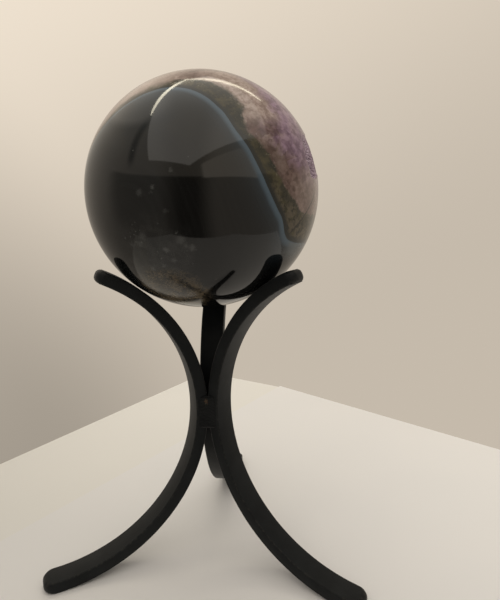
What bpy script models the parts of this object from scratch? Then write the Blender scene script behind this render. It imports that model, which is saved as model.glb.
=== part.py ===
"""Polished amethyst and agate sphere on a stand of three bent flat bars, welded together at the waist.

Metres, +Z up, with the feet on Z = 0 and the single leg behind, towards +Y.
Each bar is cut flat with round corners, then bent the easy way: an arm above the waist and a foot below it.
"""

from math import cos, pi, radians, sin, sqrt

import bmesh
import bpy
from mathutils import Matrix, Vector, noise

# Stone
STONE_RADIUS = 0.0435
STONE_SEGMENTS = 64
STONE_RINGS = 32
# The open crystal pocket on the stone's right side, a shallow ragged scoop that is deepest at its upper edge
POCKET_AZIMUTH = radians(-10)
POCKET_ELEVATION = radians(17)
POCKET_WIDTH = 0.0170
POCKET_HEIGHT = 0.0165
POCKET_DEPTH = 0.0017
POCKET_TILT = radians(4)
POCKET_RAGGED = 0.35
POCKET_SEGMENTS = 32
POCKET_RINGS = 16

# Flat bar
BAR_WIDTH = 0.0095
BAR_THICKNESS = 0.0048
BAR_EDGE = 0.0006
BAR_CORNER = 0.0035
CORNER_STEPS = 6

# Bends, as the radius of the convex face, and the angle that the arm turns through from the upright waist
ARM_RADIUS = 0.0635
ARM_BEND = radians(67)
FOOT_RADIUS = 0.0638
FOOT_FLAT = 0.0036
BEND_STEP = radians(3.5)

# Welds in the three grooves between the bars
WELD_REACH = 0.0079
WELD_ROUND = 0.0090
WELD_HEIGHT = 0.0130
WELD_DROP = 0.0012
WELD_END = 0.0024
WELD_SIDES = 64

# Clearance between pieces that touch, and the distance under which two corners of a cut are one
GAP = 0.0003
SAME_CORNER = 0.000001

# Three legs share the circle, one behind and two in front. The narrow sides of two neighbours make a groove,
# and each stands at this angle to the groove's centre plane.
BACK = pi / 2
FRONT_LEFT = BACK + 2 * pi / 3
FRONT_RIGHT = BACK - 2 * pi / 3
GROOVE = pi / 3
# The bars stand edge to edge at the waist, so their width sets how near the axis they come,
# and their rolled edges let them come a little nearer.
EDGE_GAIN = BAR_EDGE * (sin(GROOVE) + cos(GROOVE) - 1)
WAIST_RADIUS = (GAP / 2 + BAR_WIDTH / 2 * cos(GROOVE) - EDGE_GAIN) / sin(GROOVE)
# The foot turns until it lies flat on the ground.
FOOT_BEND = pi / 2
WAIST_HEIGHT = FOOT_RADIUS
ARM_LENGTH = ARM_RADIUS * ARM_BEND
FOOT_LENGTH = FOOT_RADIUS * FOOT_BEND
# The stone rests on the convex faces of the arms.
STONE_HEIGHT = WAIST_HEIGHT + sqrt((ARM_RADIUS + STONE_RADIUS + GAP) ** 2 - (WAIST_RADIUS + ARM_RADIUS) ** 2)
# The origin is on the ground under the middle of the object's outline. The back foot reaches farthest behind
# the stand's axis, and the stone or the round corners of the front feet farthest in front of it.
BACK_REACH = WAIST_RADIUS + FOOT_RADIUS + FOOT_FLAT
CORNER_OUT = (BACK_REACH - BAR_CORNER) * cos(GROOVE) + (BAR_WIDTH / 2 - BAR_CORNER) * sin(GROOVE)
AXIS_Y = (max(CORNER_OUT + BAR_CORNER, STONE_RADIUS) - BACK_REACH) / 2


def material(name, colour, roughness, coat=0.0):
    made = bpy.data.materials.new(name)
    made.use_nodes = True
    shader = made.node_tree.nodes["Principled BSDF"]
    shader.inputs["Base Color"].default_value = (*colour, 1)
    shader.inputs["Roughness"].default_value = roughness
    shader.inputs["Metallic"].default_value = 0
    shader.inputs["Coat Weight"].default_value = coat
    return made


def add(name, shape, look, collection, carrier):
    """Makes an object of the shape, placed by what carries it, with its creases sharp and the rest smooth."""
    mesh = bpy.data.meshes.new(name)
    shape.to_mesh(mesh)
    shape.free()
    mesh.materials.append(look)
    mesh.shade_smooth()
    mesh.set_sharp_from_angle(angle=radians(30))
    piece = bpy.data.objects.new(name, mesh)
    collection.objects.link(piece)
    piece.parent = carrier
    return piece


def flat_bar():
    """The straight bar as it is cut, lying along X with its waist at X = 0: the foot at -X, the arm at +X."""
    length = FOOT_FLAT + FOOT_LENGTH + ARM_LENGTH
    middle = Matrix.Translation((ARM_LENGTH - length / 2, 0, BAR_THICKNESS / 2))
    bar = bmesh.new()
    bmesh.ops.create_cube(bar, size=1, matrix=middle @ Matrix.Diagonal((length, BAR_WIDTH, BAR_THICKNESS, 1)))
    corners = [edge for edge in bar.edges if edge.verts[0].co.xy == edge.verts[1].co.xy]
    bmesh.ops.bevel(bar, geom=corners, offset=BAR_CORNER, segments=CORNER_STEPS, profile=0.5, affect="EDGES")
    arm_steps = round(ARM_BEND / BEND_STEP)
    foot_steps = round(FOOT_BEND / BEND_STEP)
    cuts = [ARM_LENGTH * step / arm_steps for step in range(arm_steps)]
    cuts += [-FOOT_LENGTH * step / foot_steps for step in range(1, foot_steps + 1)]
    for along in cuts:
        everything = bar.verts[:] + bar.edges[:] + bar.faces[:]
        bmesh.ops.bisect_plane(bar, geom=everything, plane_co=(along, 0, 0), plane_no=(1, 0, 0))
    return bar


def bend(point):
    """Where a point of the flat bar goes: X runs along the bar, and Z is the depth behind its convex face."""
    along, across, depth = point
    radius, most, upward = (ARM_RADIUS, ARM_BEND, 1) if along > 0 else (FOOT_RADIUS, FOOT_BEND, -1)
    turn = min(abs(along) / radius, most)
    straight = abs(along) - turn * radius
    out = WAIST_RADIUS + radius - (radius - depth) * cos(turn) + straight * sin(turn)
    rise = (radius - depth) * sin(turn) + straight * cos(turn)
    return Vector((out, across, WAIST_HEIGHT + upward * rise))


def leg(name, direction, look, collection, axis):
    bar = flat_bar()
    for corner in bar.verts:
        corner.co = bend(corner.co)
    bmesh.ops.recalc_face_normals(bar, faces=bar.faces)
    bar.transform(Matrix.Rotation(direction, 4, "Z"))
    piece = add(name, bar, look, collection, axis)
    edge = piece.modifiers.new("rolled edge", "BEVEL")
    edge.width = BAR_EDGE
    edge.segments = 2
    edge.limit_method = "ANGLE"
    edge.angle_limit = radians(40)
    return piece


def weld(name, direction, look, collection, axis):
    """A bead that fills the groove between two bars, rounded over in front and at its ends."""
    middle = Matrix.Translation((WELD_REACH - WELD_ROUND, 0, 0))
    size = {"radius1": WELD_ROUND, "radius2": WELD_ROUND, "depth": WELD_HEIGHT}
    bead = bmesh.new()
    bmesh.ops.create_cone(bead, segments=WELD_SIDES, cap_ends=True, matrix=middle, **size)
    rims = [edge for edge in bead.edges if edge.verts[0].co.z == edge.verts[1].co.z]
    bmesh.ops.bevel(bead, geom=rims, offset=WELD_END, segments=4, profile=0.5, affect="EDGES")
    # The narrow sides of the two bars, carried on, would meet on the groove's centre plane here.
    root = Vector((BAR_WIDTH / 2 / sin(GROOVE), 0, 0))
    for side in (-1, 1):
        into_bar = Vector((-sin(GROOVE), side * cos(GROOVE), 0))
        everything = bead.verts[:] + bead.edges[:] + bead.faces[:]
        cut = bmesh.ops.bisect_plane(
            bead, geom=everything, plane_co=root - into_bar * GAP, plane_no=into_bar, clear_outer=True
        )
        rim = [item for item in cut["geom_cut"] if isinstance(item, bmesh.types.BMEdge)]
        bmesh.ops.edgeloop_fill(bead, edges=rim)
    bmesh.ops.remove_doubles(bead, verts=bead.verts, dist=SAME_CORNER)
    bmesh.ops.recalc_face_normals(bead, faces=bead.faces)
    waist = Matrix.Translation((0, 0, WAIST_HEIGHT - WELD_DROP))
    bead.transform(waist @ Matrix.Rotation(direction, 4, "Z"))
    return add(name, bead, look, collection, axis)


def stone(look, collection, cutters, axis):
    """The polished sphere, its origin at its centre on the line along which it lifts off, less the pocket."""
    ball = bmesh.new()
    bmesh.ops.create_uvsphere(ball, u_segments=STONE_SEGMENTS, v_segments=STONE_RINGS, radius=STONE_RADIUS)
    sphere = add("sphere", ball, look, collection, axis)
    sphere.location = (0, 0, STONE_HEIGHT)
    # The scoop is a flat uneven ellipsoid centred on the polished surface, with its X facing out of the stone.
    scoop = bmesh.new()
    bmesh.ops.create_uvsphere(scoop, u_segments=POCKET_SEGMENTS, v_segments=POCKET_RINGS, radius=1)
    for corner in scoop.verts:
        corner.co *= 1 + POCKET_RAGGED * noise.noise(corner.co * 1.7)
    turned = Matrix.Rotation(POCKET_AZIMUTH, 4, "Z") @ Matrix.Rotation(-POCKET_ELEVATION, 4, "Y")
    leaned = turned @ Matrix.Translation((STONE_RADIUS, 0, 0)) @ Matrix.Rotation(-POCKET_TILT, 4, "Y")
    scoop.transform(leaned @ Matrix.Diagonal((POCKET_DEPTH, POCKET_WIDTH / 2, POCKET_HEIGHT / 2, 1)))
    cutter = add("pocket_cutter", scoop, look, cutters, sphere)
    cutter.hide_render = True
    cutter.display_type = "WIRE"
    pocket = sphere.modifiers.new("crystal pocket", "BOOLEAN")
    pocket.operation = "DIFFERENCE"
    pocket.solver = "EXACT"
    pocket.object = cutter
    return sphere


def main():
    for old in list(bpy.data.objects):
        bpy.data.objects.remove(old)
    parts = bpy.data.collections.new("amethyst_sphere")
    cutters = bpy.data.collections.new("cutters")
    bpy.context.scene.collection.children.link(parts)
    bpy.context.scene.collection.children.link(cutters)

    amethyst = material("polished_amethyst", (0.07, 0.06, 0.07), 0.08, coat=0.4)
    black = material("black_painted_steel", (0.012, 0.012, 0.013), 0.45)
    bead = material("black_painted_weld", (0.014, 0.013, 0.012), 0.5)

    axis = bpy.data.objects.new("stand_axis", None)
    parts.objects.link(axis)
    axis.location = (0, AXIS_Y, 0)
    stone(amethyst, parts, cutters, axis)
    leg("front_left_leg", FRONT_LEFT, black, parts, axis)
    leg("front_right_leg", FRONT_RIGHT, black, parts, axis)
    leg("back_leg", BACK, black, parts, axis)
    # Each weld is opposite a leg.
    weld("front_weld", BACK + pi, bead, parts, axis)
    weld("back_right_weld", FRONT_LEFT + pi, bead, parts, axis)
    weld("back_left_weld", FRONT_RIGHT + pi, bead, parts, axis)


main()
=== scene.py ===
"""A polished geode sphere, half dark agate and half amethyst, on a stand of three bent flat bars."""

from math import cos, pi, radians, sin
from random import Random

import bmesh
import bpy
from mathutils import Matrix, Vector, noise


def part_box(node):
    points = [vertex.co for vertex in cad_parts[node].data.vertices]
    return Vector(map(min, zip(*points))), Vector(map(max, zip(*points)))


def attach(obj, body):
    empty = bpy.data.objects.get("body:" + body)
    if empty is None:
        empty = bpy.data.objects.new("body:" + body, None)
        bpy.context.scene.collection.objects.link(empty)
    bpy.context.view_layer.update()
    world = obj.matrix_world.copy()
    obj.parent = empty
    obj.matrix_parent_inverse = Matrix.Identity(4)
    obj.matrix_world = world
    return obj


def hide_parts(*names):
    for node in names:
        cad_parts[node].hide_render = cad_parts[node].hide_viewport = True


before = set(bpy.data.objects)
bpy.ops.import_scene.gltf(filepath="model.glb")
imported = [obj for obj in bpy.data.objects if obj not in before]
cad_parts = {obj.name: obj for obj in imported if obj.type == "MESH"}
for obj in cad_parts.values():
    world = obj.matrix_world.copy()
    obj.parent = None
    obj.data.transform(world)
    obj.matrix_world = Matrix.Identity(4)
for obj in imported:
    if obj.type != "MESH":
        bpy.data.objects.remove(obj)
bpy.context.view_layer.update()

# The bars. Three equal lengths of flat steel bar with round corners, each bent the easy way round a former,
# an arm above the waist and a foot below it. Their long edges are rolled soft, their ends are ground rounder
# still, and they are sprayed satin black. The paint is paler in patches along the edges: partly rubbed thin,
# partly a painted edge highlight.

stone_low, stone_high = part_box("sphere")
stone_centre = (stone_low + stone_high) / 2
stone_radius = (stone_high.z - stone_low.z) / 2
axis = Vector((stone_centre.x, stone_centre.y, 0))
bar_width = 0.0095
bar_thickness = 0.0048
bar_edge = 0.0006
bar_corner = 0.0035
tip_edge = 0.0019
tip_length = 0.005
tip_cut = 0.0042
arm_radius = 0.0635
arm_bend = radians(67)
foot_radius = 0.0638
foot_bend = radians(90)
foot_flat = 0.0036
bend_step = radians(1.75)
corner_segments = 8
edge_segments = 4
waist_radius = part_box("back_leg")[0].y - axis.y
arm_length = arm_radius * arm_bend
foot_length = foot_radius * foot_bend
bar_length = foot_flat + foot_length + arm_length
foot_end = arm_length - bar_length
paint_wave = 0.00006
# The length of the paint's waves in mm, and how far apart the three bars lie in them, in mm to the radian
paint_wave_length = 14
paint_apart = 400
# Limits of two tests, as shares of the rolled edge: its last row still counts as part of it, and the paint is
# made paler, partly rubbed and partly a painted highlight, only between its first and last rows.
just_past = 1.01
paler_from = 0.02


class Value:
    """A node's output. Arithmetic on it adds Math nodes, and node() adds any other node to its shader."""

    def __init__(self, socket):
        self.socket = socket
        self.tree = socket.id_data

    def node(self, kind, settings, inputs, output=0):
        """Adds a node. Its inputs and its output go by name, or by number among the sockets in use."""
        made = self.tree.nodes.new(kind)
        for name, setting in settings.items():
            setattr(made, name, setting)
        usable = [one for one in made.inputs if one.enabled]
        for name, value in inputs.items():
            if isinstance(name, int):
                socket = usable[name]
            else:
                socket = next(one for one in usable if one.name == name)
            if isinstance(value, Value):
                self.tree.links.new(value.socket, socket)
            elif socket.type == "RGBA":
                socket.default_value = (*value, 1)
            else:
                socket.default_value = value
        if isinstance(output, int):
            return Value([one for one in made.outputs if one.enabled][output])
        return Value(made.outputs[output])

    def math(self, operation, *others):
        return self.node("ShaderNodeMath", {"operation": operation}, dict(enumerate((self, *others))))

    def __add__(self, other):
        return self.math("ADD", other)

    def __mul__(self, other):
        return self.math("MULTIPLY", other)

    def __sub__(self, other):
        return self.math("SUBTRACT", other)

    def __rsub__(self, other):
        return self.node("ShaderNodeMath", {"operation": "SUBTRACT"}, {0: other, 1: self})

    def __abs__(self):
        return self.math("ABSOLUTE")

    __radd__ = __add__
    __rmul__ = __mul__

    def rise(self, low, high):
        """0 below low and 1 above high, with a smooth climb between them. It falls if low is the larger."""
        if low > high:
            return 1 - self.rise(high, low)
        ends = {"Value": self, "From Min": low, "From Max": high}
        return self.node("ShaderNodeMapRange", {"interpolation_type": "SMOOTHSTEP"}, ends)

    def blend(self, off, on):
        """The colour off where the value is 0, and on where it is 1."""
        return self.node("ShaderNodeMix", {"data_type": "RGBA"}, {"Factor": self, "A": off, "B": on})

    def dot(self, vector):
        product = {"operation": "DOT_PRODUCT"}
        return self.node("ShaderNodeVectorMath", product, {0: self, 1: vector}, "Value")

    def distance(self, point):
        return self.node("ShaderNodeVectorMath", {"operation": "DISTANCE"}, {0: self, 1: point}, "Value")

    def grain(self, size, detail=2.0, roughness=0.5):
        """Noise over a vector in mm, with features of about the size given in mm."""
        inputs = {"Vector": self, "Scale": 1 / size, "Detail": detail, "Roughness": roughness}
        return self.node("ShaderNodeTexNoise", {}, inputs)

    def cells(self, scale, output):
        """Voronoi cells over a vector, as many to its unit as the scale."""
        return self.node("ShaderNodeTexVoronoi", {}, {"Vector": self, "Scale": scale}, output)


def shader(name):
    """A new material, its Principled shader, and Object coordinates in mm."""
    made = bpy.data.materials.new(name)
    made.use_nodes = True
    principled = made.node_tree.nodes["Principled BSDF"]
    coordinates = Value(made.node_tree.nodes.new("ShaderNodeTexCoord").outputs["Object"])
    in_mm = {"Vector": coordinates, "Scale": (1000, 1000, 1000)}
    return made, principled, coordinates.node("ShaderNodeMapping", {}, in_mm)


def finish_shader(principled, base, rough, height=None, rise=0.001, amount=1.0):
    """Joins the colour, the roughness and a height, in units of rise metres, to a Principled shader."""
    tree = principled.id_data
    tree.links.new(base.socket, principled.inputs["Base Color"])
    tree.links.new(rough.socket, principled.inputs["Roughness"])
    if height:
        bump = height.node("ShaderNodeBump", {}, {"Height": height, "Distance": rise, "Strength": amount})
        tree.links.new(bump.socket, principled.inputs["Normal"])


def set_black_gloss(principled):
    """The dull gloss that the black paint has all over, on bar and weld alike."""
    principled.inputs["Specular IOR Level"].default_value = 0.12
    principled.inputs["Sheen Weight"].default_value = 0.12
    principled.inputs["Sheen Roughness"].default_value = 0.4


def add_object(name, shape, material):
    """Makes an object of the shape, which is already in its place."""
    mesh = bpy.data.meshes.new(name)
    shape.to_mesh(mesh)
    shape.free()
    mesh.materials.append(material)
    made = bpy.data.objects.new(name, mesh)
    bpy.context.scene.collection.objects.link(made)
    return made


def add_piece(name, shape, material, body, slot, *nodes):
    """Makes a finished piece of the shape, which rides on a body and stands for CAD nodes."""
    made = add_object(name, shape, material)
    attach(made, body)
    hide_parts(*nodes)


def cut_across(shape, place, normal, **options):
    """Cuts everything in the shape along a plane, and returns the edges of the cut."""
    everything = shape.verts[:] + shape.edges[:] + shape.faces[:]
    cut = bmesh.ops.bisect_plane(shape, geom=everything, plane_co=place, plane_no=normal, **options)
    return [item for item in cut["geom_cut"] if isinstance(item, bmesh.types.BMEdge)]


def bent(point):
    """Where a point of the flat bar goes. X runs along the bar, Y across it, Z in from its convex face."""
    along, across, depth = point
    radius, most, upward = (arm_radius, arm_bend, 1) if along > 0 else (foot_radius, foot_bend, -1)
    turn = min(abs(along) / radius, most)
    straight = abs(along) - turn * radius
    out = waist_radius + radius - (radius - depth) * cos(turn) + straight * sin(turn)
    rise = (radius - depth) * sin(turn) + straight * cos(turn)
    return Vector((out, across, foot_radius + upward * rise))


def ground_tip(point):
    """Where a point of the flat bar goes as its rolled edge grows to the larger one at its two ends."""
    along, across, depth = point
    from_end = min(abs(along - foot_end), abs(along - arm_length))
    from_side = bar_width / 2 - abs(across)
    lengthwise = 1 if abs(along - foot_end) < abs(along - arm_length) else -1
    sideways = -1 if across > 0 else 1
    if from_end < bar_corner and from_side < bar_corner:
        toward = Vector(((bar_corner - from_end) * lengthwise, (bar_corner - from_side) * sideways, 0))
        inside = bar_corner - toward.length
    elif from_end < from_side:
        toward = Vector((lengthwise, 0, 0))
        inside = from_end
    else:
        toward = Vector((0, sideways, 0))
        inside = from_side
    below = bar_thickness / 2 - abs(depth - bar_thickness / 2)
    if max(inside, below) > bar_edge * just_past:
        return point
    share = max(0, 1 - from_end / tip_length)
    grown = (tip_edge / bar_edge - 1) * share * share * (3 - 2 * share)
    up = 1 if depth < bar_thickness / 2 else -1
    return point + toward.normalized() * inside * grown + Vector((0, 0, up * below * grown))


satin_black, principled, place = shader("satin_black_paint")
flat = place.node("ShaderNodeAttribute", {"attribute_name": "flat"}, {}, "Vector")
on_edge = place.node("ShaderNodeAttribute", {"attribute_name": "edge"}, {}, "Fac")
# Paler patches along the rolled edges: partly rubbed paint, partly a painted edge highlight
scuff_and_edge_highlight = on_edge * flat.grain(1.6, 4, 0.65).rise(0.45, 0.62)
plain_paint = flat.grain(9, 3).rise(0.3, 0.7).blend((0.0056, 0.0066, 0.0072), (0.0090, 0.0104, 0.0110))
painted = (0.6 * scuff_and_edge_highlight).blend(plain_paint, (0.026, 0.025, 0.022))
roughness = 0.42 + 0.12 * flat.grain(5, 3) + 0.06 * scuff_and_edge_highlight
orange_peel = flat.grain(0.7, 2) + 2.5 * flat.grain(6, 1)
finish_shader(principled, painted, roughness, orange_peel, 0.00004, 0.8)
set_black_gloss(principled)

rounding = {"affect": "EDGES", "profile": 0.5, "material": -1}
arm_steps = round(arm_bend / bend_step)
foot_steps = round(foot_bend / bend_step)
cuts = [-foot_length * step / foot_steps for step in range(foot_steps + 1)]
cuts += [arm_length * step / arm_steps for step in range(1, arm_steps)]
cuts += [arm_length - tip_cut, foot_end + tip_cut]
for side, direction in {"back": radians(90), "front_left": radians(210), "front_right": radians(-30)}.items():
    bar = bmesh.new()
    bar_middle = Matrix.Translation((arm_length - bar_length / 2, 0, bar_thickness / 2))
    stretch = Matrix.Diagonal((bar_length, bar_width, bar_thickness, 1))
    bmesh.ops.create_cube(bar, size=1, matrix=bar_middle @ stretch)
    corners = [edge for edge in bar.edges if edge.verts[0].co.xy == edge.verts[1].co.xy]
    bmesh.ops.bevel(bar, geom=corners, offset=bar_corner, segments=corner_segments, **rounding)
    rims = [edge for edge in bar.edges if abs(edge.calc_face_angle()) > radians(60)]
    bmesh.ops.bevel(bar, geom=rims, offset=bar_edge, segments=edge_segments, **rounding)
    for along in cuts:
        cut_across(bar, (along, 0, 0), (1, 0, 0))
    flat_place = bar.verts.layers.float_vector.new("flat")
    pale_edge = bar.verts.layers.float.new("edge")
    for corner in bar.verts:
        corner[flat_place] = corner.co * 1000 + Vector((paint_apart * direction, 0, 0))
        # The rolled edge's rows, where the paint is made paler: partly rubbed, partly a painted highlight
        inset = abs(corner.co.z - bar_thickness / 2) - (bar_thickness / 2 - bar_edge)
        corner[pale_edge] = 1.0 if paler_from * bar_edge < inset < (1 - paler_from) * bar_edge else 0.0
        swell = noise.noise(corner[flat_place] / paint_wave_length) * paint_wave
        corner.co = bent(ground_tip(corner.co) + corner.normal * min(0, swell))
    bmesh.ops.recalc_face_normals(bar, faces=bar.faces)
    bar.transform(Matrix.Translation(axis) @ Matrix.Rotation(direction, 4, "Z"))
    for face in bar.faces:
        face.smooth = True
    add_piece(f"{side}_bar", bar, satin_black, "stand", "black_painted_steel", f"{side}_leg")

# The welds. A bead of weld metal fills each groove between two bars at the waist, laid in short overlapping
# runs that leave ripples, with rounded ends. The same black paint lies over it, a little darker than on the
# bars, and a fleck of rust shows through it at the top of the bead in front.

weld_reach = 0.0079
weld_round = 0.0170
weld_height = 0.0138
weld_drop = 0.0019
weld_end = 0.0012
weld_end_segments = 6
weld_sides = 320
weld_rows = 52
into_the_bar = 0.0002
ripple_pitch = 0.0014
ripple_depth = 0.00016
# How far apart the three beads lie in their noise, in mm to the radian
bead_apart = 40
groove = radians(60)
groove_root = Vector((bar_width / 2 / sin(groove), 0, 0))
rust_spot = (axis.x * 1000 - 0.3, axis.y * 1000 - 8.0, 66.9)
rust_shape = (1.3, 1, 0.7)
same_corner = 0.000001

thick_black, principled, place = shader("black_paint_over_weld")
lumps = place.grain(1.1, 3, 0.6)
bead_paint = place.grain(4, 3).rise(0.35, 0.65).blend((0.0034, 0.0042, 0.0046), (0.0074, 0.0082, 0.0084))
stretched = place.node("ShaderNodeMapping", {}, {"Vector": place, "Scale": rust_shape})
from_rust = stretched.distance(tuple(at * scale for at, scale in zip(rust_spot, rust_shape)))
bare = (from_rust + 4.5 * (place.grain(0.5, 3, 0.65) - 0.5)).rise(1.0, 0.5)
rust = place.grain(0.7, 1).rise(0.45, 0.55).blend((0.075, 0.034, 0.018), (0.050, 0.052, 0.034))
finish_shader(principled, bare.blend(bead_paint, rust), 0.46 + 0.2 * lumps, lumps, 0.0001, 0.8)
set_black_gloss(principled)

for side, direction in {"front": radians(-90), "back_right": radians(30), "back_left": radians(150)}.items():
    bead = bmesh.new()
    bead_middle = Matrix.Translation((weld_reach - weld_round, 0, 0))
    cylinder = {"radius1": weld_round, "radius2": weld_round, "depth": weld_height}
    bmesh.ops.create_cone(bead, segments=weld_sides, cap_ends=True, matrix=bead_middle, **cylinder)
    rims = [edge for edge in bead.edges if edge.verts[0].co.z == edge.verts[1].co.z]
    bmesh.ops.bevel(bead, geom=rims, offset=weld_end, segments=weld_end_segments, **rounding)
    for row in range(1, weld_rows):
        level = weld_end - weld_height / 2 + (weld_height - 2 * weld_end) * row / weld_rows
        cut_across(bead, (0, 0, level), (0, 0, 1))
    for corner in bead.verts:
        seed = corner.co * 1000 + Vector((bead_apart * direction, 0, 0))
        bow = abs(corner.co.y) * 0.5
        phase = (corner.co.z + bow) / ripple_pitch + 0.6 * noise.noise(seed / 2.5)
        dip = ripple_depth * (1 - abs(sin(pi * phase)) + 1.6 * abs(noise.noise(seed / 1.4)))
        outward = Vector((corner.co.x - bead_middle.translation.x, corner.co.y, 0)).normalized()
        corner.co -= outward * dip
        corner.co.z *= 0.95 + 0.05 * noise.noise(Vector((corner.co.y * 700, bead_apart * direction, 0)))
    for hand in (-1, 1):
        into_bar = Vector((-sin(groove), hand * cos(groove), 0))
        rim = cut_across(bead, groove_root + into_bar * into_the_bar, into_bar, clear_outer=True)
        bmesh.ops.edgeloop_fill(bead, edges=rim)
    bmesh.ops.remove_doubles(bead, verts=bead.verts, dist=same_corner)
    bmesh.ops.recalc_face_normals(bead, faces=bead.faces)
    # The faces against the two bars and at the two ends have many corners, and stay flat.
    for face in bead.faces:
        face.smooth = len(face.verts) < 10
    waist = Matrix.Translation(axis + Vector((0, 0, foot_radius - weld_drop)))
    bead.transform(waist @ Matrix.Rotation(direction, 4, "Z"))
    add_piece(f"{side}_bead", bead, thick_black, "stand", "black_painted_weld", f"{side}_weld")

# The stone. A geode, ground and polished to a ball that lies loose on the three arms: dark agate in front and
# below, a thin blue-white chalcedony band, a mossy seam, and amethyst above and behind, with a patch of brown
# rind left at the bottom. On its right side the grinding opened a shallow pocket lined with crystals.

pocket_turn = Matrix.Rotation(radians(-6), 4, "Z") @ Matrix.Rotation(radians(-15.5), 4, "Y")
pocket_out = pocket_turn @ Vector((1, 0, 0))
pocket_side = pocket_turn @ Vector((0, 1, 0))
pocket_up = pocket_turn @ Vector((0, 0, 1))
pocket_half_width = 0.0112
pocket_half_height = 0.0082
pocket_depth = 0.0019
pocket_wall = 0.16
pocket_cell = 0.002
fine_reach = 1.25
far_outside = 9.0


def pocket_reach(spot):
    """How far into the pocket a point of the ball is: 0 at its middle, 1 at its ragged edge, more outside."""
    out = (spot - stone_centre).normalized()
    if out.dot(pocket_out) < 0:
        return far_outside
    across = out.dot(pocket_side) * stone_radius / pocket_half_width
    up = out.dot(pocket_up) * stone_radius / pocket_half_height
    ragged = 1 + 0.30 * noise.noise(Vector((across, up, 0.4)).normalized() * 1.3)
    ragged += 0.12 * noise.noise(Vector((across, up, 3.1)) * 2.3)
    return (across * across + up * up) ** 0.5 / ragged


ball = bmesh.new()
bmesh.ops.create_icosphere(ball, subdivisions=7, radius=stone_radius, matrix=Matrix.Translation(stone_centre))
pocket_edges = [edge for edge in ball.edges if max(pocket_reach(end.co) for end in edge.verts) < fine_reach]
bmesh.ops.subdivide_edges(ball, edges=pocket_edges, cuts=3, use_grid_fill=True)
for corner in ball.verts:
    out = (corner.co - stone_centre).normalized()
    reach = pocket_reach(corner.co)
    depth = 0
    if reach < 1:
        inside = min(1, (1 - reach) / pocket_wall)
        near_seed, next_seed = noise.voronoi(corner.co / pocket_cell)[0][:2]
        to_side = out.dot(pocket_side) * stone_radius / pocket_half_width
        floor_level = (1.25 - 0.45 * reach) * (0.95 - 0.15 * to_side)
        depth = pocket_depth * inside * (floor_level - 0.10 * (next_seed - near_seed))
    corner.co = stone_centre + out * (stone_radius - depth)
for face in ball.faces:
    face.smooth = max(pocket_reach(corner.co) for corner in face.verts) > 1
bmesh.ops.recalc_face_normals(ball, faces=ball.faces)

geode, principled, place = shader("polished_geode")
# Every place in the stone is in mm from the ball's centre.
here = place.node("ShaderNodeMapping", {}, {"Vector": place, "Location": tuple(stone_centre * -1000)})
radius_mm = stone_radius * 1000
height = here.dot((0, 0, 1))
rightward = here.dot((1, 0, 0))
leftmost = rightward.rise(8, -8)
fine = here.grain(1.1, 3, 0.6)
drift = here.grain(7, 3, 0.5) - 0.5
# The band is a sheet across the ball, rippled along its length, that turns under the amethyst at the bottom.
# A place's layer is its depth in mm past the sheet, below 0 in the agate and above 0 in the seam and crystals.
ripple = here.dot((0.847, -0.104, -0.521)) * (1 / radius_mm)
sheet = -0.287 - 0.265 * ripple - 0.27 * ripple * ripple + 0.575 * ripple * ripple * ripple
front = here.dot((0.361, 0.832, 0.421)) - radius_mm * sheet
front = front + 0.65 * abs(ripple - 0.2).rise(0.17, 0.0) + 0.9 * ripple.rise(0.76, 0.85)
back = here.dot((0.3, 1, 0)).rise(0, 26)
under = here.dot((0, 0.1, 1)) + 19.4 + 13 * back * (here.grain(30, 2, 0.4) - 0.5)
layer = front.math("SMOOTH_MIN", under, 5.0) + 1.2 * here.grain(13, 2) - 0.6
# Agate, with faint bands that follow the sheet and brighten into the chalcedony, and its pale line
across_bands = {"W": layer * 0.9, "Detail": 3, "Scale": 1}
bands = layer.node("ShaderNodeTexNoise", {"noise_dimensions": "1D"}, across_bands)
agate = bands.rise(0.40, 0.65).blend((0.0034, 0.0034, 0.0033), (0.0050, 0.0051, 0.0049))
cloud = here.grain(16, 2).rise(0.40, 0.65) * height.rise(-5, 26)
agate = cloud.blend(agate, (0.0095, 0.0088, 0.0060))
glow = (layer * (0.36 - 0.24 * leftmost)).math("MINIMUM", 0.0).math("EXPONENT")
glow = (0.72 + 0.20 * leftmost) * (1 - 0.35 * cloud) * glow
stone = glow.blend(agate, (0.042, 0.064, 0.083))
line = layer.rise(-2.2, -0.5) * layer.rise(0.25, 0.0)
stone = (0.62 * line).blend(stone, (0.088, 0.130, 0.166))
# The mossy seam, with a dark line where it leaves the band. It is wide low down and thin on the left, and a
# tongue of crystal reaches into it.
moss_edge = 5.2 + 1.2 * height.rise(14, 26) + 4.5 * height.rise(1, -9) + 6 * (here.grain(5, 4, 0.6) - 0.5)
moss_edge = moss_edge + 1.6 * (here.grain(1.8, 2) - 0.5) - 3.7 * rightward.rise(6, -9)
moss_edge = moss_edge - 3.0 * here.distance((21.5, -31.5, 20.5)).rise(7.5, 2.0)
moss_edge = moss_edge + 1.4 * height.rise(17, 24) * rightward.rise(4, 12)
moss_tone = 0.65 * here.grain(3.2, 3, 0.55) + 0.35 * fine
moss = moss_tone.rise(0.38, 0.64).blend((0.013, 0.012, 0.005), (0.062, 0.051, 0.022))
low_seam = height.rise(6.0, -4.0) * here.grain(2.2, 3, 0.6).rise(0.40, 0.60)
moss = (0.7 * low_seam).blend(moss, (0.105, 0.083, 0.056))
clump = here.grain(4.4, 2).rise(0.46, 0.60) * (layer - moss_edge).rise(-5.0, -1.5)
moss = (0.75 * clump).blend(moss, (0.011, 0.012, 0.006))
stone = layer.rise(0.02, 0.35).blend(stone, (0.011, 0.013, 0.011))
stone = layer.rise(0.8, 2.4).blend(stone, moss)
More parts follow.
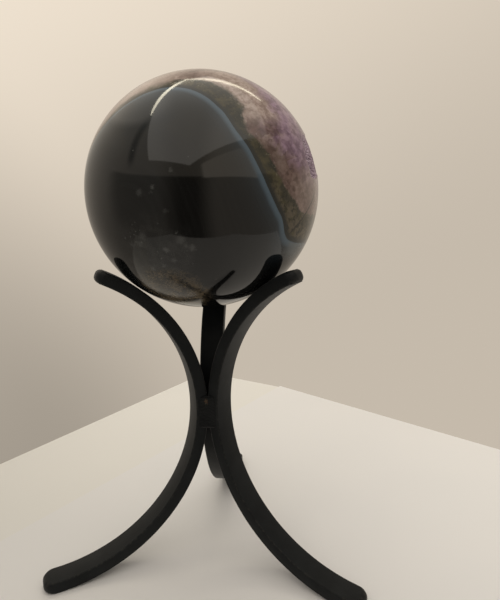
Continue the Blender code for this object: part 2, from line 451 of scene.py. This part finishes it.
# Amethyst, as crystals that stand on the seam, brown at their roots and purple towards their tips
past = layer - moss_edge
upright = {"Rotation": (0.45, 0.1, -0.41), "Scale": (0.26, 0.13, 0.26)}
along_crystals = here.node("ShaderNodeMapping", {}, {"Vector": here, **upright})
cell = along_crystals.cells(1, "Color").dot((0.5, 0.3, 0.2))
facet = along_crystals.cells(2.6, "Color").dot((0.4, 0.3, 0.3))
taller = 0.45 * height.math("MINIMUM", 14.0) - 0.5 * (height - 24).math("MAXIMUM", 0.0)
purple = (past + taller + 7 * (cell - 0.5) + 11 * drift).rise(8, 20)
tone = 0.26 * here.grain(6.0, 2) + 0.36 * here.grain(3.0, 3, 0.5) + 0.2 * facet + 0.18 * fine
crystal_root = tone.rise(0.38, 0.62).blend((0.064, 0.033, 0.025), (0.132, 0.074, 0.061))
crystal_tip = tone.rise(0.38, 0.62).blend((0.122, 0.062, 0.106), (0.283, 0.178, 0.250))
crystal = purple.blend(crystal_root, crystal_tip)
dark_root = (here.distance((27.5, -32.0, 9.5)) + 9 * drift).rise(10.0, 4.0)
crystal = (0.6 * dark_root).blend(crystal, (0.050, 0.026, 0.018))
low_reach = (here.distance((40.0, -17.0, -1.0)) + 8 * drift).rise(13.0, 5.0)
low_crystal = tone.rise(0.36, 0.64).blend((0.150, 0.098, 0.080), (0.230, 0.158, 0.132))
crystal = (0.65 * low_reach).blend(crystal, low_crystal)
# Milky quartz in the crystals, most of it above and on the left, with finer veils all over, and a pale zone
# high on the right that is partly a painted highlight
milk_and_highlight = (here.grain(6.5, 4, 0.55) + 0.12 * (facet - 0.5)).rise(0.42, 0.68)
milk_and_highlight = milk_and_highlight * (0.25 + 0.75 * past.rise(13, 4) * height.rise(12, 24))
# A pale zone high on the right, in the cloudy quartz colour: partly pale quartz at the crystals' roots, partly
# a painted highlight
pale_root_and_highlight = (past + 5 * drift + 9 * (tone - 0.5)).rise(16.5, 9.5) * (height + 4 * drift).rise(19, 25)
pale_root_and_highlight = pale_root_and_highlight * rightward.rise(-3, 12)
milk_and_highlight = milk_and_highlight.math("MAXIMUM", pale_root_and_highlight).math("MAXIMUM", 0.85 * leftmost * height.rise(6, 24))
cloudy = (0.7 * tone + 0.3 * fine).rise(0.38, 0.62).math("MAXIMUM", 0.6 * leftmost)
cloudy = cloudy.blend((0.27, 0.195, 0.155), (0.51, 0.405, 0.350))
crystal = (0.80 * milk_and_highlight).blend(crystal, cloudy)
veil = here.grain(2.0, 5, 0.7).rise(0.60, 0.74)
crystal = (0.30 * veil).blend(crystal, (0.42, 0.34, 0.36))
soft_edge = 1 - (0.78 * leftmost).math("MAXIMUM", 0.5 * height.rise(10, 22))
stone = (past * soft_edge).rise(-0.3, 0.9).blend(stone, crystal)
# Pale specks where the crystals start
speck = here.grain(0.9, 3, 0.6).rise(0.56, 0.66) * past.rise(-1.4, -0.4) * past.rise(1.2, 0.3)
stone = (0.45 * speck).blend(stone, (0.22, 0.19, 0.14))
# The brown rind at the bottom, with grey crystal flecks in the agate above it
grey = (here.distance((-9, -37, -20)) + 12 * (here.grain(8, 3) - 0.5)).rise(17, 8)
grey_share = grey * (0.3 + 0.7 * here.grain(2.6, 4, 0.6).rise(0.36, 0.66))
stone = grey_share.blend(stone, (0.0190, 0.0190, 0.0182))
grey_fleck = (here.cells(0.55, "Distance") + 0.25 * fine).rise(0.30, 0.20) * grey
stone = (0.8 * grey_fleck).blend(stone, (0.070, 0.072, 0.070))
rind = (here.distance((-6.5, -27.5, -34.5)) + 9 * (here.grain(6, 4, 0.6) - 0.5)).rise(14.5, 10.0)
rind_tone = 0.5 * here.grain(3.2, 3, 0.6) + 0.5 * here.grain(0.9, 3, 0.6)
rind_brown = rind_tone.rise(0.40, 0.60).blend((0.004, 0.0032, 0.0014), (0.066, 0.049, 0.029))
rind_pale = height.rise(-32.0, -37.0) * rind_tone.rise(0.40, 0.58)
rind_brown = (0.7 * rind_pale).blend(rind_brown, (0.120, 0.096, 0.064))
stone = rind.blend(stone, rind_brown)
# A thin dark crack through the lower crystals and the seam
off_crack = abs(here.dot((-0.055, 0.755, -0.653)) + 11.13 + 0.8 * (here.grain(3, 3) - 0.5))
crack = off_crack.rise(0.42, 0.12) * here.distance((37.9, -18.6, -8.2)).rise(12.0, 8.0) * layer.rise(0.3, 0.9)
stone = (0.9 * crack).blend(stone, (0.010, 0.007, 0.005))
# A few small pale crystal flecks under the polish in front: their places, sizes in mm and strengths
flecks = {
    (-12.1, -41.8, 0.2): (1.7, 0.30),
    (-7.7, -42.8, 1.9): (0.9, 0.55),
    (-8.2, -42.8, 0.3): (0.7, 0.25),
    (-1.7, -43.0, 6.6): (1.0, 0.35),
    (-3.8, -42.8, -5.4): (1.3, 0.20),
    (-1.1, -41.8, -12.1): (0.7, 0.80),
    (-5.2, -39.4, -17.6): (1.5, 0.55),
    (3.4, -39.9, -17.0): (1.7, 0.45),
    (1.6, -40.3, -16.2): (1.3, 0.35),
    (-3.1, -38.0, -21.0): (1.3, 0.40),
    (-6.9, -36.3, -23.0): (1.2, 0.45),
    (-11.2, -34.3, -24.4): (1.2, 0.45),
    (-12.6, -39.5, -13.3): (2.0, 0.35),
    (-13.8, -38.2, -15.7): (1.6, 0.35),
    (-17.0, -36.6, -16.2): (1.2, 0.35),
    (0.2, -41.1, -14.3): (2.2, 0.35),
}
swirl_reach = Vector((2.6, 2.6, 2.6))
ragged_noise = {"Vector": here, "Scale": 1.3, "Detail": 4, "Roughness": 0.6}
swirl = here.node("ShaderNodeTexNoise", {}, ragged_noise, "Color")
move = {"operation": "MULTIPLY_ADD"}
swirled = here.node("ShaderNodeVectorMath", move, {0: swirl, 1: swirl_reach, 2: here})
fleck = 0
for at, (size, strength) in flecks.items():
    from_fleck = swirled.distance(Vector(at) + swirl_reach / 2)
    fleck = (strength * from_fleck.rise(size, 0.15 * size)).math("MAXIMUM", fleck)
stone = fleck.blend(stone, (0.085, 0.086, 0.083))
# A paler corner of chalcedony where the sheet turns under
pale_corner = (here.distance((37, -17, -18.5)) + 4 * (here.grain(5, 3) - 0.5)).rise(9.5, 4.0)
stone = (0.75 * pale_corner * layer.rise(0.1, -0.2)).blend(stone, (0.098, 0.113, 0.120))
# The floor of the pocket is frosted, below the level of the polish, and a little dust lies on the ball.
sunken = (here.distance((0, 0, 0)) - radius_mm).rise(-0.12, -0.45)
frosted = here.grain(1.3, 3, 0.55).rise(0.34, 0.66).blend((0.240, 0.162, 0.212), (0.460, 0.356, 0.422))
stone = (0.95 * sunken).blend(stone, frosted)
dust = here.cells(0.12, "Distance").rise(0.040, 0.022)
stone = (0.7 * dust).blend(stone, (0.16, 0.16, 0.15))
seam_dull = layer.rise(0.9, 2.2) * (1 - purple)
roughness = 0.045 + 0.14 * rind + 0.42 * sunken + 0.05 * seam_dull + 0.03 * here.grain(3, 4)
pits = here.grain(0.8, 3, 0.6).rise(0.62, 0.75) * layer.rise(1, 3)
finish_shader(principled, stone, roughness, 0 - pits, 0.00005, 0.25)
quartz_ior = 1.54
principled.inputs["IOR"].default_value = quartz_ior
principled.inputs["Specular IOR Level"].default_value = 0.40
add_piece("stone", ball, geode, "stone", "polished_amethyst", "sphere")

# The crystal points in the pocket. Short six-sided pyramids of amethyst that grew on the pocket's floor at
# slight angles, with their roots in the stone and their tips just under the level of the polish.

points = bmesh.new()
draw = Random(7)
most_points = 90
most_tries = 6000
narrowest, widest = 0.0007, 0.0016
# The points keep within this share of the pocket, and this share of their two sizes apart.
outermost = 0.90
nearest = 0.75
root_depth = 0.0009
lean_most = 0.35
placed = []
tries = 0
while len(placed) < most_points and tries < most_tries:
    tries += 1
    across, up = draw.uniform(-1, 1), draw.uniform(-1, 1)
    sideways = across * pocket_half_width * pocket_side + up * pocket_half_height * pocket_up
    spot = stone_centre + (pocket_out + sideways / stone_radius).normalized() * stone_radius
    size = draw.uniform(narrowest, widest)
    crowded = any((spot - other).length < nearest * (size + wide) for other, wide in placed)
    if crowded or pocket_reach(spot) > outermost:
        continue
    placed.append((spot, size))
    out = (spot - stone_centre).normalized()
    lean = Vector([draw.uniform(-lean_most, lean_most) for _ in range(3)])
    upward = (out + lean).to_track_quat("Z", "Y").to_matrix().to_4x4()
    turn = upward @ Matrix.Rotation(draw.uniform(0, pi), 4, "Z")
    sink = draw.uniform(0.0003, 0.0006) + 0.0008 * max(0, up - 0.35)
    tip_place = stone_centre + out * (stone_radius - sink)
    tall = size * 1.25
    stands = Matrix.Translation(tip_place) @ turn @ Matrix.Translation((0, 0, -tall / 2))
    taper = {"radius1": size, "radius2": size * 0.06, "depth": tall}
    cone = bmesh.ops.create_cone(points, segments=6, cap_ends=True, matrix=stands, **taper)
    sides = {face for corner in cone["verts"] for face in corner.link_faces}
    bottom = min(sides, key=lambda face: (face.calc_center_median() - stone_centre).length)
    prism = bmesh.ops.extrude_face_region(points, geom=[bottom])
    root_corners = [item for item in prism["geom"] if isinstance(item, bmesh.types.BMVert)]
    bmesh.ops.translate(points, verts=root_corners, vec=turn.to_3x3() @ Vector((0, 0, -root_depth)))
    bmesh.ops.delete(points, geom=[bottom], context="FACES_ONLY")
bmesh.ops.recalc_face_normals(points, faces=points.faces)

amethyst, principled, place = shader("amethyst_points")
purple_share = place.grain(1.6, 4, 0.6).rise(0.35, 0.65)
purples = purple_share.blend((0.255, 0.172, 0.226), (0.470, 0.362, 0.432))
pale_share = place.grain(0.6, 3, 0.6).rise(0.55, 0.7)
colour = (0.35 * pale_share).blend(purples, (0.60, 0.53, 0.565))
finish_shader(principled, colour, 0.20 + 0.2 * place.grain(0.9, 3))
principled.inputs["IOR"].default_value = quartz_ior
add_piece("pocket_points", points, amethyst, "stone", "polished_amethyst", "sphere")

# The paper. A large sheet of white paper lies under the stand, and a cream one shows from under it along its
# left edge. Both have a far corner behind the stand, and neither is part of the object.

sheets = {
    "white_sheet": (0, (1, 1, 1), ((21, 187), (-176, -150), (-90, -213), (142, -170), (290, -8))),
    "cream_sheet": (-0.3, (1, 0.993, 0.955), ((-44, 216), (-236, -132), (-172, -144), (22, 185))),
}
# The colour of the shade painted on the paper, towards the camera and to the left
painted_paper_shade = (0.400, 0.388, 0.370)
for name, (level, tint, outline) in sheets.items():
    paper, principled, place = shader(name)
    fibre = place.grain(2.5, 4)
    shade = place.grain(120, 2).rise(0.3, 0.7).blend((0.870, 0.850, 0.825), (0.900, 0.875, 0.845))
    # Painted shade: the paper darkens towards the camera and, less, to the left
    shade = (0.74 * place.dot((0.38, 0.92, 0)).rise(130, -290)).blend(shade, painted_paper_shade)
    shade = (0.26 * place.dot((-1, 0, 0)).rise(30, 190)).blend(shade, painted_paper_shade)
    tinting = {"data_type": "RGBA", "blend_type": "MULTIPLY"}
    shade = shade.node("ShaderNodeMix", tinting, {"Factor": 1, "A": shade, "B": tint})
    finish_shader(principled, shade, 0.85 + 0.1 * fibre, fibre, 0.00005, 0.2)
    sheet_shape = bmesh.new()
    for x, y in outline:
        sheet_shape.verts.new(axis + Vector((x, y, level)) / 1000)
    bmesh.ops.contextual_create(sheet_shape, geom=sheet_shape.verts[:])
    for face in sheet_shape.faces:
        face.normal_update()
        if face.normal.z < 0:
            face.normal_flip()
    floor = add_object(name, sheet_shape, paper)

# The lights. A wide soft light hangs overhead. Two bright strips 10 mm under it run along its far edges, and
# the polish shows them as thin curved lines. A small light high behind the stand, which no reflection shows,
# stands for the glow of a window.


def soft_light(name, middle, across, target, width, height, radiance, colour):
    """An area light that faces the target, its width along the direction across, of the given radiance."""
    lamp = bpy.data.lights.new(name, "AREA")
    lamp.shape = "RECTANGLE"
    lamp.size, lamp.size_y = width, height
    lamp.energy = radiance * pi * width * height
    lamp.color = colour
    made = bpy.data.objects.new(name, lamp)
    back = (middle - target).normalized()
    across = (across - across.dot(back) * back).normalized()
    turned = Matrix((across, back.cross(across), back)).transposed().to_4x4()
    made.matrix_world = Matrix.Translation(middle) @ turned
    bpy.context.scene.collection.objects.link(made)
    return made


ceiling = 0.6
above = stone_centre + Vector((0, 0, ceiling))
down = Vector((0, 0, -1))
edge_on = Vector((0.5, 0.866, 0))
edge_in = Vector((-0.866, 0.5, 0))
warm = (1.0, 0.95, 0.88)
warmer = (1.0, 0.92, 0.72)

middle = above + (edge_on * -0.69 + edge_in * -0.325) * ceiling
soft_light("overhead", middle, edge_on, middle + down, 2.62 * ceiling, 1.51 * ceiling, 0.86, warm)
glow_place = above + Vector((-0.05, 0.40, 0)) * ceiling
window_glow = soft_light("window_glow", glow_place, edge_on, axis, 0.3, 0.3, 1.5, warm)
window_glow.visible_glossy = False
# An ellipse fills this share of its rectangle, so it gets that share of the energy.
ellipse_share = pi / 4
# Each strip's two ends and its width, as shares of the ceiling's height, and its radiance
strips = {
    "left_strip": ((-0.618, -0.175), (-0.200, 0.560), 0.055, 8.5),
    "far_strip": ((-0.205, 0.515), (0.550, 0.691), 0.095, 5.5),
}
for name, (start, end, width, radiance) in strips.items():
    start = above + Vector((*start, 0)) * ceiling
    end = above + Vector((*end, 0)) * ceiling
    middle = (start + end) / 2 + down * 0.01
    long = (end - start).length
    wide = width * ceiling
    strength = radiance * ellipse_share
    strip = soft_light(name, middle, end - start, middle + down, long, wide, strength, warmer)
    strip.data.shape = "ELLIPSE"

# The walls. They are the world, plain and warm grey, brighter on the left and high up. The polish shows their
# near side too: dim in the middle and lighter to the sides and high up, with a lit panel high on the right and
# a dark streak high on the left. An even soft light falls from them on everything.

world = bpy.data.worlds.new("pale_walls")
bpy.context.scene.world = world
world.use_nodes = True
background = world.node_tree.nodes["Background"]
ray = Value(world.node_tree.nodes.new("ShaderNodeTexCoord").outputs["Generated"])
lift = ray.dot((0, 0, 1))
to_right = ray.dot((1, 0, 0))
to_left = ray.dot((-1, 0, 0))
wall = 0.363 + 0.407 * ray.dot((-0.503, 0, 1)).rise(-0.268, 0.97)
wall = wall + 0.196 * ray.dot((1.632, 0, 1)).rise(-1.148, -0.539)
near_side = 0.07 + 0.21 * to_left.rise(0.15, 0.55) + 0.35 * to_right.rise(0.04, 0.40)
near_side = near_side + 0.30 * lift.rise(0.23, 0.27)
# The lit panel's four corners, as directions in order round it
panel_corners = [(0.16, -0.89, 0.43), (0.65, -0.47, 0.60), (0.87, -0.44, 0.20), (0.20, -0.95, 0.23)]
panel = 1
for first, second in zip(panel_corners, panel_corners[1:] + panel_corners[:1]):
    panel = ray.dot(Vector(second).cross(Vector(first))).rise(-0.01, 0.01) * panel
near_side = near_side + panel * (1.24 - near_side)
dark_streak = abs(ray.dot((-0.436, 0.856, -0.280)) + 0.11).rise(0.10, 0.01)
near_side = near_side - 0.36 * dark_streak * ray.distance((-0.73, -0.28, 0.60)).rise(0.38, 0.20)
far_side = wall * (0.80 - 0.35 * lift.rise(0.45, 0.80))
far_side = far_side + 0.64 * ray.dot((0, 0.35, 1)).rise(0.64, 0.78) * to_left.rise(0.25, 0.50)
far_right = ray.dot((0.2, 1, 0)).rise(0.45, 0.80) * to_right.rise(0.15, 0.45)
far_side = far_side + 0.25 * far_right * lift.rise(-0.30, 0.0) * lift.rise(0.26, 0.10)
reflected = far_side + ray.dot((0, -1, 0)).rise(-0.05, 0.30) * (near_side - far_side)
seen_straight = ray.node("ShaderNodeLightPath", {}, {}, "Is Camera Ray")
seen = (reflected + seen_straight * (wall - reflected)).blend((0, 0, 0), (1.0, 0.88, 0.73))
lighting = ray.node("ShaderNodeLightPath", {}, {}, "Is Diffuse Ray")
walls = lighting.blend(seen, (0.42, 0.399, 0.369))
world.node_tree.links.new(walls.socket, background.inputs["Color"])

# The camera. It stands about 20 cm in front of the stand's axis, a little to the right and level with the
# middle of the stone. It looks down by 11 degrees, through a wide lens.

camera = bpy.data.objects.new("camera", bpy.data.cameras.new("camera"))
camera.data.lens = 30.93
camera.data.sensor_width = 36
camera_place = axis + Vector((0.0373814, -0.1984615, 0.1467751))
yaw, pitch, roll = -0.1014, -0.198, -0.0158
forward = Vector((sin(yaw) * cos(pitch), cos(yaw) * cos(pitch), sin(pitch)))
level_right = Vector((cos(yaw), -sin(yaw), 0))
level_up = level_right.cross(forward)
right = cos(roll) * level_right + sin(roll) * level_up
up = cos(roll) * level_up - sin(roll) * level_right
turned = Matrix((right, up, -forward)).transposed().to_4x4()
camera.matrix_world = Matrix.Translation(camera_place) @ turned
bpy.context.scene.collection.objects.link(camera)
bpy.context.scene.camera = camera
bpy.context.scene.view_settings.view_transform = "Standard"
